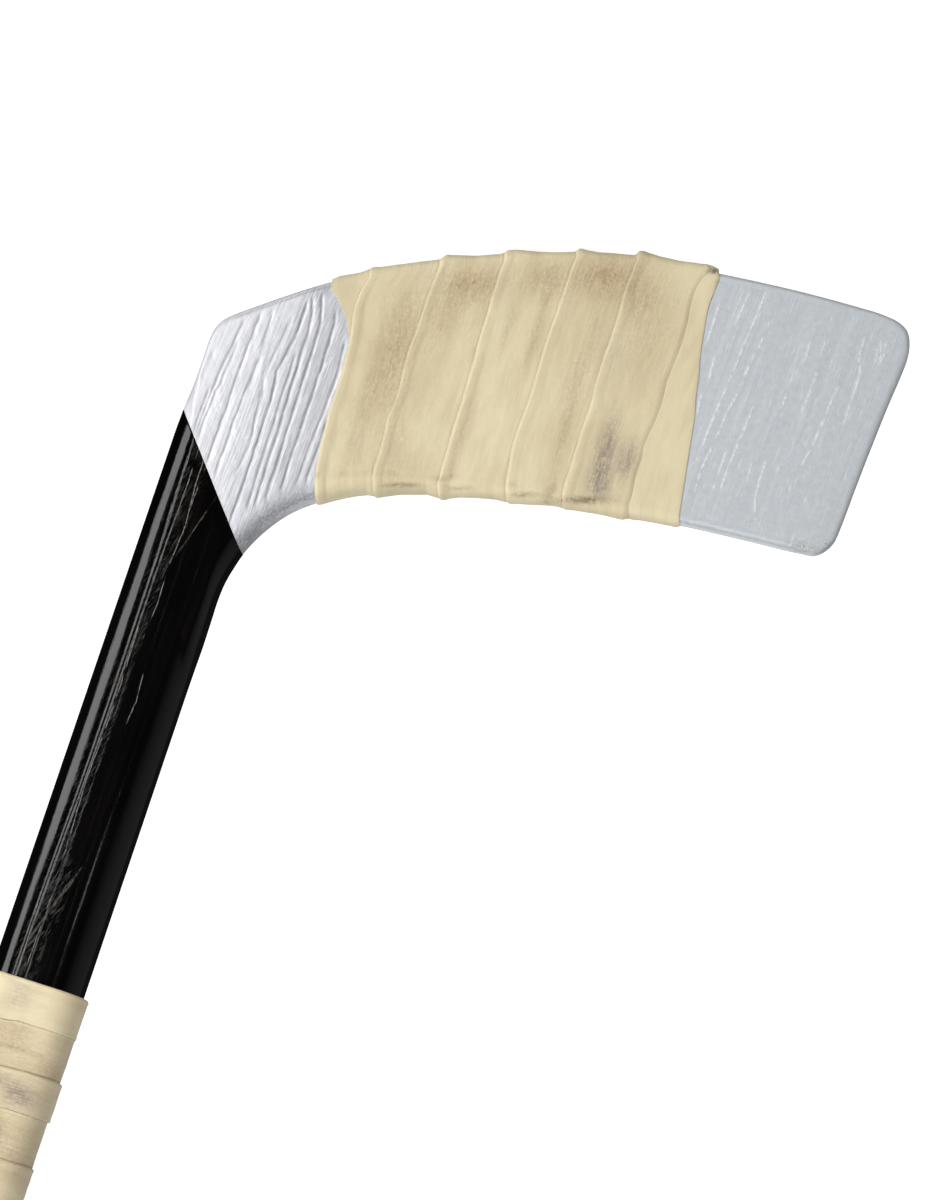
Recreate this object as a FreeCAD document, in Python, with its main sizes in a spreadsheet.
import FreeCAD, Part
import Sketcher
import math
import os

# Ice hockey stick, one-piece laminated wood pattern, standing with the lowest
# point of its taped sole at the origin.  +Z up, the blade runs along X with the
# toe at -X and the heel at +X, the shaft rises towards +X, and the blade face
# called "near" looks towards -Y.  The toe bends away towards +Y.  Millimetres.
#
# In the shaft's own frame X runs across its wide face, Y through its thickness
# and Z up its length.

os.makedirs("parts", exist_ok=True)
V = FreeCAD.Vector
doc = FreeCAD.newDocument("hockey_stick")

# ---------------------------------------------------------------- sizes
SIZES = [
    # shaft
    ("shaft_width", 27.7), ("shaft_thick", 19.0), ("shaft_corner", 6.5),
    ("shaft_foot", 78.84), ("shaft_lean", 17.83), ("butt_at", 1420.0),
    ("glass_thick", 0.5), ("core_ply_thick", 6.4), ("tongue_top", 150.0),
    # slanting line where the heel covering ends: height on the shaft axis, fall across it
    ("paint_line_at", 72.9), ("paint_line_slope", 1.192),
    # blade
    ("sleeve_thick", 0.5), ("hook_depth", 9.0), ("hook_start", 70.0),
    ("hook_span", 160.0), ("cheek_front", 48.0), ("cheek_inner", 4.2),
    ("slat_lower_top", 31.0), ("slat_upper_bottom", 57.0),
    ("toe_edge_round", 1.7), ("toe_inset_extra", 0.05),
    # tapes
    ("tape_thick", 0.9), ("tape_gap", 0.05),
    ("blade_tape_heel_low", 59.0), ("blade_tape_heel_high", 69.0),
    ("blade_tape_toe_low", -55.6), ("blade_tape_toe_high", -42.8),
    ("shaft_tape_start", 237.5), ("shaft_tape_end", 430.0), ("shaft_tape_thick", 1.9),
    ("grip_start", 1240.0), ("grip_thick", 1.5), ("grip_knob_gap", 0.1),
    ("knob_long", 24.0), ("knob_thick", 6.5), ("knob_inset", 2.0), ("knob_round", 4.5),
    ("knob_corner_trim", 0.5),
    # how far cutting shapes run past the pieces they cut
    ("foot_overrun", 60.0), ("fork_overrun", 80.0), ("bore_overrun", 2.0),
]

# blade stations: x, sole height, upper edge height, thickness, upper edge
# radius, sole edge radius
STATION_FIELDS = ("pos", "sole", "upper", "thick", "upper_radius", "sole_radius")
STATIONS = [
    (-120.0, 22.80, 103.80, 6.20, 2.00, 1.40),
    (-112.0, 20.50, 101.90, 6.25, 2.00, 1.40),
    (-100.0, 17.05, 99.00, 6.40, 2.00, 1.40),
    (-85.0, 13.05, 95.45, 6.60, 2.00, 1.40),
    (-65.0, 8.50, 90.70, 6.90, 2.00, 1.40),
    (-45.0, 4.65, 86.05, 7.30, 2.00, 1.40),
    (-25.0, 1.75, 82.30, 7.70, 2.05, 1.40),
    (-5.0, 0.95, 79.10, 8.30, 2.10, 1.45),
    (15.0, 2.05, 76.65, 9.05, 2.20, 1.50),
    (35.0, 4.10, 75.15, 10.20, 2.50, 1.60),
    (50.0, 6.55, 75.05, 11.70, 3.00, 1.80),
    (60.0, 9.00, 76.05, 13.10, 3.60, 2.00),
    (68.0, 11.55, 77.75, 14.40, 4.20, 2.20),
    (76.0, 14.25, 80.80, 15.90, 4.90, 2.40),
    (83.0, 16.60, 85.30, 17.30, 5.60, 2.60),
    (89.0, 18.70, 90.90, 18.30, 6.10, 2.80),
    (94.0, 20.55, 97.30, 18.80, 6.35, 3.00),
    (97.0, 22.00, 102.50, 18.95, 6.45, 3.40),
    (99.3, 24.40, 108.20, 19.00, 6.50, 4.00),
    (101.3, 28.90, 114.60, 19.00, 6.50, 5.00),
    (102.9, 34.00, 120.60, 19.00, 6.50, 6.00),
]
ALL_STATIONS = slice(None)
TAPED_STATIONS = slice(2, 16)

# toe end outline (x, z), from just under the sole up to just over the upper edge
TOE_FIELDS = ("pos", "height")
TOE = [
    (-98.0, 15.1), (-102.0, 17.1), (-105.5, 18.6), (-108.2, 19.7), (-110.9, 21.0),
    (-112.7, 22.4), (-113.8, 23.9), (-114.4, 25.9), (-114.5, 27.9), (-114.2, 31.0),
    (-113.2, 34.2), (-112.1, 36.9), (-107.9, 46.6), (-102.5, 59.8), (-96.6, 74.8),
    (-93.5, 83.0), (-91.4, 88.2), (-90.4, 90.3), (-88.7, 92.4), (-86.5, 94.0),
    (-84.0, 95.0), (-79.5, 95.6),
]

# heel outline under the shaft: x, z, then how far the point moves towards +X
# and towards -Z for each millimetre the outline grows
HEEL_FIELDS = ("pos", "height", "grow_out", "grow_down")
HEEL = [
    (60.0, 11.6, 0, 1), (80.0, 17.0, 0, 1), (92.0, 21.2, 0, 1), (97.2, 23.7, 1, 1),
    (99.9, 26.3, 1, 1), (101.6, 29.4, 1, 1), (102.9, 32.8, 1, 1), (104.4, 37.0, 1, 0),
    (106.2, 41.8, 1, 0), (108.6, 48.0, 1, 0),
]

sheet = doc.addObject("Spreadsheet::Sheet", "Sizes")


def add_row(row, title, aliases, values):
    sheet.set("A%d" % row, title)
    for column, alias, value in zip("BCDEFG", aliases, values):
        cell = "%s%d" % (column, row)
        sheet.set(cell, "%g" % value)
        sheet.setAlias(cell, alias)


def add_table(first_row, prefix, title, fields, table):
    """One sheet row per entry; returns the next free row."""
    for i, values in enumerate(table):
        aliases = ["%s_%s_%02d" % (prefix, field, i) for field in fields]
        add_row(first_row + i, "%s_%s_%02d" % (prefix, title, i), aliases, values)
    return first_row + len(table)


for i, (name, value) in enumerate(SIZES):
    add_row(i + 1, name, [name], [value])
next_row = add_table(len(SIZES) + 1, "blade", "station", STATION_FIELDS, STATIONS)
next_row = add_table(next_row, "toe", "point", TOE_FIELDS, TOE)
add_table(next_row, "heel", "point", HEEL_FIELDS, HEEL)
doc.recompute()


def size(name):
    return float(sheet.get(name))


def read_table(prefix, fields, count):
    return [tuple(size("%s_%s_%02d" % (prefix, field, i)) for field in fields)
            for i in range(count)]


stations = read_table("blade", STATION_FIELDS, len(STATIONS))
toe_points = read_table("toe", TOE_FIELDS, len(TOE))
heel_points = read_table("heel", HEEL_FIELDS, len(HEEL))
shaft_frame = FreeCAD.Placement(V(size("shaft_foot"), 0, 0),
                                FreeCAD.Rotation(V(0, 1, 0), size("shaft_lean")))


# ---------------------------------------------------------------- document helpers
def place_on_shaft(obj, across="0", through="0", along="0"):
    """Bind an object's placement to a point given in the shaft's frame."""
    turn = {"across": across, "along": along,
            "cos": "cos(Sizes.shaft_lean * 1 deg)", "sin": "sin(Sizes.shaft_lean * 1 deg)"}
    obj.setExpression(".Placement.Base.x",
                      "Sizes.shaft_foot + (%(across)s) * %(cos)s + (%(along)s) * %(sin)s" % turn)
    obj.setExpression(".Placement.Base.y", through)
    obj.setExpression(".Placement.Base.z",
                      "(%(along)s) * %(cos)s - (%(across)s) * %(sin)s" % turn)
    # sets the rotation axis that the bound angle turns about
    obj.Placement = shaft_frame
    obj.setExpression(".Placement.Rotation.Angle", "Sizes.shaft_lean * 1 deg")


def edge_names(shape, wanted):
    return ["Edge%d" % (i + 1) for i, edge in enumerate(shape.Edges) if wanted(edge)]


def runs_lengthwise(edge):
    rise = abs(edge.Vertexes[0].Point.z - edge.Vertexes[-1].Point.z)
    return abs(rise - edge.Length) < 1e-6 and edge.Length > 1


def lies_level(edge):
    heights = [vertex.Point.z for vertex in edge.Vertexes]
    return max(heights) - min(heights) < 1e-6


def add_fillet(body, name, base, wanted, radius):
    fillet = body.newObject("PartDesign::Fillet", name)
    fillet.Base = (base, edge_names(base.Shape, wanted))
    fillet.setExpression("Radius", radius)
    doc.recompute()
    body.Tip = fillet
    doc.recompute()


def bar_sketch(body, name, wide, deep):
    """Rectangle centred on the body's origin."""
    sketch = body.newObject("Sketcher::SketchObject", name)
    plane = [f for f in body.Origin.OriginFeatures if f.Role == "XY_Plane"][0]
    sketch.AttachmentSupport = [(plane, "")]
    sketch.MapMode = "FlatFace"
    # drawn at a starting size; the bound constraints set the real one
    start_wide, start_deep = 20.0, 16.0
    corners = [V(x * start_wide / 2, y * start_deep / 2, 0)
               for x, y in ((-1, -1), (1, -1), (1, 1), (-1, 1))]
    for i in range(4):
        sketch.addGeometry(Part.LineSegment(corners[i], corners[(i + 1) % 4]), False)
    for i in range(4):
        sketch.addConstraint(Sketcher.Constraint("Coincident", i, 2, (i + 1) % 4, 1))
    for i, kind in ((0, "Horizontal"), (2, "Horizontal"), (1, "Vertical"), (3, "Vertical")):
        sketch.addConstraint(Sketcher.Constraint(kind, i))
    sketch.addConstraint(Sketcher.Constraint("Symmetric", 0, 1, 2, 1, -1, 1))
    across = sketch.addConstraint(Sketcher.Constraint("DistanceX", 0, 1, 0, 2, start_wide))
    through = sketch.addConstraint(Sketcher.Constraint("DistanceY", 1, 1, 1, 2, start_deep))
    sketch.setExpression("Constraints[%d]" % across, wide)
    sketch.setExpression("Constraints[%d]" % through, deep)
    return sketch


def bar(name, wide, deep, corner, length, along):
    """Body: a rectangle padded up the shaft, its long edges rounded if corner is given."""
    body = doc.addObject("PartDesign::Body", name)
    sketch = bar_sketch(body, name + "_section", wide, deep)
    pad = body.newObject("PartDesign::Pad", name + "_length")
    pad.Profile = sketch
    pad.setExpression("Length", length)
    place_on_shaft(body, along=along)
    doc.recompute()
    if corner:
        add_fillet(body, name + "_corners", pad, runs_lengthwise, corner)
    return body


def box(name, low, high, on_shaft=False):
    """Box between two corners given as expressions, in the world or the shaft's frame.

    Plain numbers in the corners stand well clear of the piece being cut."""
    block = doc.addObject("Part::Box", name)
    for side, start, end in zip(("Length", "Width", "Height"), low, high):
        block.setExpression(side, "(%s) - (%s)" % (end, start))
    if on_shaft:
        place_on_shaft(block, *low)
    else:
        for axis, start in zip("xyz", low):
            block.setExpression(".Placement.Base." + axis, start)
    return block


def feature(name, shape):
    holder = doc.addObject("Part::Feature", name)
    holder.Shape = shape
    return holder


def boolean(kind, name, base, tool):
    result = doc.addObject("Part::" + kind, name)
    result.Base = base
    result.Tool = tool
    doc.recompute()
    return result


def fuse(name, shapes):
    result = doc.addObject("Part::MultiFuse", name)
    result.Shapes = shapes
    doc.recompute()
    return result


# ---------------------------------------------------------------- shape helpers
def hook(x):
    """Y of the blade's middle plane at x."""
    run = max(0.0, (size("hook_start") - x) / size("hook_span"))
    return size("hook_depth") * run * run


def blade_section(x, sole, upper, thick, upper_radius, sole_radius):
    """Closed wire at x: a rectangle with one radius above and one below."""
    near, far = hook(x) - thick / 2.0, hook(x) + thick / 2.0
    arc_middle = 1 - math.sqrt(0.5)
    # corner y and z, inward direction in y and z, radius
    corners = [(near, upper, 1, -1, upper_radius), (far, upper, -1, -1, upper_radius),
               (far, sole, -1, 1, sole_radius), (near, sole, 1, 1, sole_radius)]
    arcs = []
    for i, (y, z, in_y, in_z, radius) in enumerate(corners):
        on_side = V(x, y, z + in_z * radius)
        on_edge = V(x, y + in_y * radius, z)
        middle = V(x, y + in_y * radius * arc_middle, z + in_z * radius * arc_middle)
        arcs.append((on_edge, middle, on_side) if i % 2 else (on_side, middle, on_edge))
    curves = []
    for i, arc in enumerate(arcs):
        curves.append(Part.LineSegment(arcs[i - 1][2], arc[0]))
        curves.append(Part.Arc(*arc))
    return Part.Wire([curve.toShape() for curve in curves])


def blade_form(grow, span=ALL_STATIONS):
    """Blade and heel as a smooth loft through the stations, grown all round."""
    wires = [blade_section(x, sole - grow, upper + grow, thick + 2 * grow,
                           upper_radius + grow, sole_radius + grow)
             for x, sole, upper, thick, upper_radius, sole_radius in stations[span]]
    return Part.makeLoft(wires, True, False)


def spline_prism(outline, corners, depth):
    """Prism towards +Y from y = -30: a spline outline closed through corners (x, z)."""
    points = [V(x, -30, z) for x, z in outline]
    curve = Part.BSplineCurve()
    curve.interpolate(points)
    path = [points[-1]] + [V(x, -30, z) for x, z in corners] + [points[0]]
    edges = [curve.toShape()] + [Part.makeLine(a, b) for a, b in zip(path, path[1:])]
    return Part.Face(Part.Wire(Part.__sortEdges__(edges))).extrude(V(0, depth, 0))


def toe_keep(grow):
    """Prism that keeps everything on the heel side of the toe outline."""
    outline = [(x - grow, z) for x, z in toe_points]
    low_x, high_x = outline[0][0], outline[-1][0]
    return spline_prism(outline, [(high_x, 160), (160, 160), (160, -40), (low_x, -40)], 80)


def heel_keep(grow):
    """Prism that trims the foot of the shaft inside the heel outline."""
    outline = [(x + grow * out, z - grow * down) for x, z, out, down in heel_points]
    low_x, high_z = outline[0][0], outline[-1][1]
    return spline_prism(outline, [(170, high_z), (170, 240), (low_x, 240)], 60)


def polygon_prism(points, y, depth):
    corners = [V(x, y, z) for x, z in points]
    return Part.Face(Part.makePolygon(corners + [corners[0]])).extrude(V(0, depth, 0))


def paint_line_side(far_end):
    """Everything between the paint line and far_end, a height in the shaft's frame."""
    height, reach = size("paint_line_at"), 400
    fall = reach * size("paint_line_slope")
    prism = polygon_prism([(-reach, height + fall), (reach, height - fall),
                           (reach, far_end), (-reach, far_end)], -60, 120)
    prism.Placement = shaft_frame
    return prism


def toe_end_edges(shape):
    """Tall edges that follow the toe outline."""
    end_limit, near_outline, least_height, steps = -84.0, 7.6, 25, 8
    found = []
    for edge in shape.Edges:
        if (any(vertex.Point.x >= end_limit for vertex in edge.Vertexes)
                or edge.CenterOfMass.x >= end_limit):
            continue
        first, last = edge.FirstParameter, edge.LastParameter
        points = [edge.valueAt(first + (last - first) * k / float(steps))
                  for k in range(steps + 1)]
        on_outline = sum(min(math.hypot(p.x - x, p.z - z) for x, z in toe_points) < near_outline
                         for p in points)
        height = max(p.z for p in points) - min(p.z for p in points)
        # one sample may stray from the outline
        if on_outline >= steps and height > least_height:
            found.append(edge)
    return found


def round_toe(shape):
    # guards against the kernel refusing the fillet: the toe then keeps its sharp edges
    try:
        rounded = shape.makeFillet(size("toe_edge_round"), toe_end_edges(shape))
        change = abs(rounded.Volume - shape.Volume)
        if rounded.isValid() and rounded.Volume > 0 and change < 0.05 * shape.Volume:
            return rounded
    except Exception:
        pass
    return shape


# ---------------------------------------------------------------- envelopes
WIDTH, THICK, CORNER = "Sizes.shaft_width", "Sizes.shaft_thick", "Sizes.shaft_corner"
INSET = " - 2 * Sizes.sleeve_thick"
shaft_envelope = bar("shaft_envelope", WIDTH, THICK, CORNER, "Sizes.butt_at", "0")
foot_envelope = bar("shaft_foot_envelope", WIDTH + INSET, THICK + INSET,
                    CORNER + " - Sizes.sleeve_thick",
                    "Sizes.tongue_top + Sizes.foot_overrun", "0")

below_line = paint_line_side(-900.0)
above_line = paint_line_side(1900.0)

# outside of the covering
blade_outer = round_toe(blade_form(0.0).common(toe_keep(0.0)))
foot_block = Part.makeBox(220, 60, 260, V(20, -30, -20))
foot_outer = shaft_envelope.Shape.common(foot_block).common(heel_keep(0.0))
outer = blade_outer.fuse(foot_outer).common(below_line)

# inside of the covering
sleeve = size("sleeve_thick")
blade_inside = blade_form(-sleeve).common(toe_keep(-sleeve - size("toe_inset_extra")))
foot_inside = foot_envelope.Shape.common(heel_keep(-sleeve))
inner = blade_inside.fuse(foot_inside).common(below_line)

shaft_and_throat = feature("shaft_and_throat",
                           shaft_envelope.Shape.fuse(blade_outer.common(above_line)))
feature("below_paint_line", below_line)
above_paint_line = feature("above_paint_line", above_line)
stick_outer = feature("heel_and_blade_outer", outer)
stick_inner = feature("heel_and_blade_inner", inner)

# the wood under the covering, split along the toe-side edge of the shaft
shaft_zone = box("shaft_zone", ("-1 * Sizes.shaft_width / 2 + Sizes.sleeve_thick", "-40", "-60"),
                 ("80", "40", "400"), on_shaft=True)
shaft_foot_inner = boolean("Common", "shaft_foot_inner", stick_inner, shaft_zone)
blade_inner = boolean("Cut", "blade_inner", stick_inner, shaft_zone)

# ---------------------------------------------------------------- shaft plies and glass
NEAR_FACE, FAR_FACE = "-1 * Sizes.shaft_thick / 2", "Sizes.shaft_thick / 2"
NEAR_GLASS = NEAR_FACE + " + Sizes.glass_thick"
FAR_GLASS = FAR_FACE + " - Sizes.glass_thick"
NEAR_CORE, FAR_CORE = "-1 * Sizes.core_ply_thick / 2", "Sizes.core_ply_thick / 2"


def shaft_layer(name, result_name, low_y, high_y):
    """Layer of the shaft above the paint line, between two depths."""
    slab = box(name + "_slab", ("-40", low_y, "-40"), ("40", high_y, "Sizes.butt_at + 40"),
               on_shaft=True)
    run = boolean("Common", name + "_run", shaft_and_throat, slab)
    return boolean("Common", result_name, run, above_paint_line)


def outer_ply(side, low_y, high_y, fork_low_y, fork_high_y):
    """Ply beside the core, with its fork running down inside the covering."""
    name = "ply_" + side
    top = shaft_layer(name, name + "_above", low_y, high_y)
    fork_slab = box(name + "_fork_slab", ("-60", fork_low_y, "-40"),
                    ("60", fork_high_y, "Sizes.tongue_top + Sizes.fork_overrun"),
                    on_shaft=True)
    fork = boolean("Common", name + "_fork", shaft_foot_inner, fork_slab)
    return fuse("shaft_" + name, [top, fork]), fork


def glass(side, low_y, high_y):
    name = "shaft_glass_" + side
    return shaft_layer(name, name, low_y, high_y)


# the fork slabs run 4 past the outer faces
shaft_ply_near, near_fork = outer_ply("near", NEAR_GLASS, NEAR_CORE,
                                      NEAR_GLASS + " - 4", NEAR_CORE)
shaft_ply_far, far_fork = outer_ply("far", FAR_CORE, FAR_GLASS,
                                    FAR_CORE, FAR_GLASS + " + 4")
shaft_core_ply = bar("shaft_core_ply", WIDTH, "Sizes.core_ply_thick", None,
                     "Sizes.butt_at - Sizes.tongue_top", "Sizes.tongue_top")
shaft_glass_near = glass("near", NEAR_FACE + " - 1", NEAR_GLASS)
shaft_glass_far = glass("far", FAR_GLASS, FAR_FACE + " + 1")

# ---------------------------------------------------------------- tongue and heel cheeks
# the tongue continues the core ply downwards and joins the middle slat
tongue_slab = box("tongue_slab", ("-40", NEAR_CORE, "-60"),
                  ("40", FAR_CORE, "Sizes.tongue_top"), on_shaft=True)
tongue_low = boolean("Common", "tongue_low", shaft_foot_inner, tongue_slab)
tongue_high_run = boolean("Common", "tongue_high_run", shaft_and_throat, tongue_slab)
tongue_high = boolean("Common", "tongue_high", tongue_high_run, above_paint_line)

cheek_near_box = box("cheek_near_box", ("Sizes.cheek_front", "-20", "-10"),
                     ("130", "-1 * Sizes.cheek_inner", "160"))
cheek_far_box = box("cheek_far_box", ("Sizes.cheek_front", "Sizes.cheek_inner", "-10"),
                    ("130", "20", "160"))
heel_cheek_near = boolean("Common", "heel_cheek_near", blade_inner, cheek_near_box)
heel_cheek_far = boolean("Common", "heel_cheek_far", blade_inner, cheek_far_box)
cheek_boxes = fuse("cheek_boxes", [cheek_near_box, cheek_far_box])
blade_blank = boolean("Cut", "blade_blank", blade_inner, cheek_boxes)


# ---------------------------------------------------------------- blade slats
def slat(level, name, bottom, top):
    """Part of the blade blank between two heights."""
    zone = box("slat_%s_box" % level, ("-140", "-30", bottom), ("140", "40", top))
    return boolean("Common", name, blade_blank, zone)


blade_slat_lower = slat("lower", "blade_slat_lower", "-20", "Sizes.slat_lower_top")
blade_slat_upper = slat("upper", "blade_slat_upper", "Sizes.slat_upper_bottom", "200")
mid_run = slat("mid", "blade_slat_mid_run", "Sizes.slat_lower_top", "Sizes.slat_upper_bottom")
blade_slat_mid = fuse("blade_slat_mid", [mid_run, tongue_low, tongue_high])

# ---------------------------------------------------------------- covering
blade_sleeve = boolean("Cut", "blade_sleeve", stick_outer, stick_inner)


# ---------------------------------------------------------------- blade tape
def tape_band():
    """Slab across the blade between the two slanting ends of the tape."""
    # the low and high tape positions are given at these heights
    low_height, high_height = 8.0, 82.0
    bottom, top = -30.0, 130.0

    def end_point(end, z):
        low, high = size("blade_tape_%s_low" % end), size("blade_tape_%s_high" % end)
        return low + (high - low) * (z - low_height) / (high_height - low_height), z

    return polygon_prism([end_point("toe", bottom), end_point("toe", top),
                          end_point("heel", top), end_point("heel", bottom)], -40, 90)


tape_gap = size("tape_gap")
tape_outside = feature("blade_tape_outside",
                       blade_form(tape_gap + size("tape_thick"),
                                  TAPED_STATIONS).common(tape_band()))
tape_inside = feature("blade_tape_inside", blade_form(tape_gap, TAPED_STATIONS))
blade_tape = boolean("Cut", "blade_tape", tape_outside, tape_inside)

# ---------------------------------------------------------------- shaft tape, grip and knob
BORE_WIDTH = WIDTH + " + 2 * Sizes.tape_gap"
BORE_THICK = THICK + " + 2 * Sizes.tape_gap"
KNOB_START = "Sizes.butt_at - Sizes.knob_inset - Sizes.knob_long"


def cut_bore(name, outside, length, start):
    """Hollow a bar to fit over the shaft; the bore runs past both ends."""
    inside = bar(name + "_inside", BORE_WIDTH, BORE_THICK, CORNER + " + Sizes.tape_gap",
                 length + " + 2 * Sizes.bore_overrun", start + " - Sizes.bore_overrun")
    return boolean("Cut", name, outside, inside)


def wrap(name, thick, start, end):
    """Even layer of tape round the shaft."""
    length = "(%s) - (%s)" % (end, start)
    outside = bar(name + "_outside", BORE_WIDTH + " + 2 * " + thick,
                  BORE_THICK + " + 2 * " + thick, CORNER + " + " + thick, length, start)
    return cut_bore(name, outside, length, start)


def knob():
    outside = bar("grip_knob_outside", WIDTH + " + 2 * Sizes.knob_thick",
                  THICK + " + 2 * Sizes.knob_thick",
                  CORNER + " + Sizes.knob_thick - Sizes.knob_corner_trim",
                  "Sizes.knob_long", KNOB_START)
    add_fillet(outside, "grip_knob_rims", outside.Tip, lies_level, "Sizes.knob_round")
    return cut_bore("grip_knob", outside, "Sizes.knob_long", KNOB_START)


shaft_tape = wrap("shaft_tape", "Sizes.shaft_tape_thick",
                  "Sizes.shaft_tape_start", "Sizes.shaft_tape_end")
grip_tape = wrap("grip_tape", "Sizes.grip_thick",
                 "Sizes.grip_start", KNOB_START + " - Sizes.grip_knob_gap")
grip_knob = knob()
doc.recompute()

# ---------------------------------------------------------------- checks and export
HEEL_AND_BLADE = [blade_slat_lower, blade_slat_mid, blade_slat_upper,
                  heel_cheek_near, heel_cheek_far, blade_sleeve]
PIECES = [shaft_core_ply, shaft_ply_near, shaft_ply_far, shaft_glass_near, shaft_glass_far]
PIECES += HEEL_AND_BLADE + [blade_tape, shaft_tape, grip_tape, grip_knob]

failed = [obj.Name for obj in doc.Objects if "Invalid" in obj.State or "Error" in obj.State]
if failed:
    raise RuntimeError("objects in error: " + ", ".join(failed))
for piece in PIECES:
    shape = piece.Shape
    if shape.isNull() or not shape.isValid() or shape.Volume <= 0:
        raise RuntimeError("bad shape: " + piece.Name)
    if len(shape.Solids) != 1:
        raise RuntimeError("%s has %d solids" % (piece.Name, len(shape.Solids)))
for near, far in ((shaft_ply_near, shaft_ply_far), (shaft_glass_near, shaft_glass_far),
                  (heel_cheek_near, heel_cheek_far)):
    if abs(near.Shape.Volume - far.Shape.Volume) > 0.05 * near.Shape.Volume:
        raise RuntimeError("%s and %s do not match" % (near.Name, far.Name))

# below the paint line the pieces must fill the outside form
filled = sum(obj.Shape.Volume for obj in HEEL_AND_BLADE + [near_fork, far_fork])
filled -= tongue_high.Shape.Volume
if abs(filled - stick_outer.Shape.Volume) > 0.01 * filled:
    raise RuntimeError("heel and blade pieces do not fill their outside")

for piece in PIECES:
    piece.Label = piece.Name
    piece.Shape.exportStep("parts/%s.step" % piece.Name)
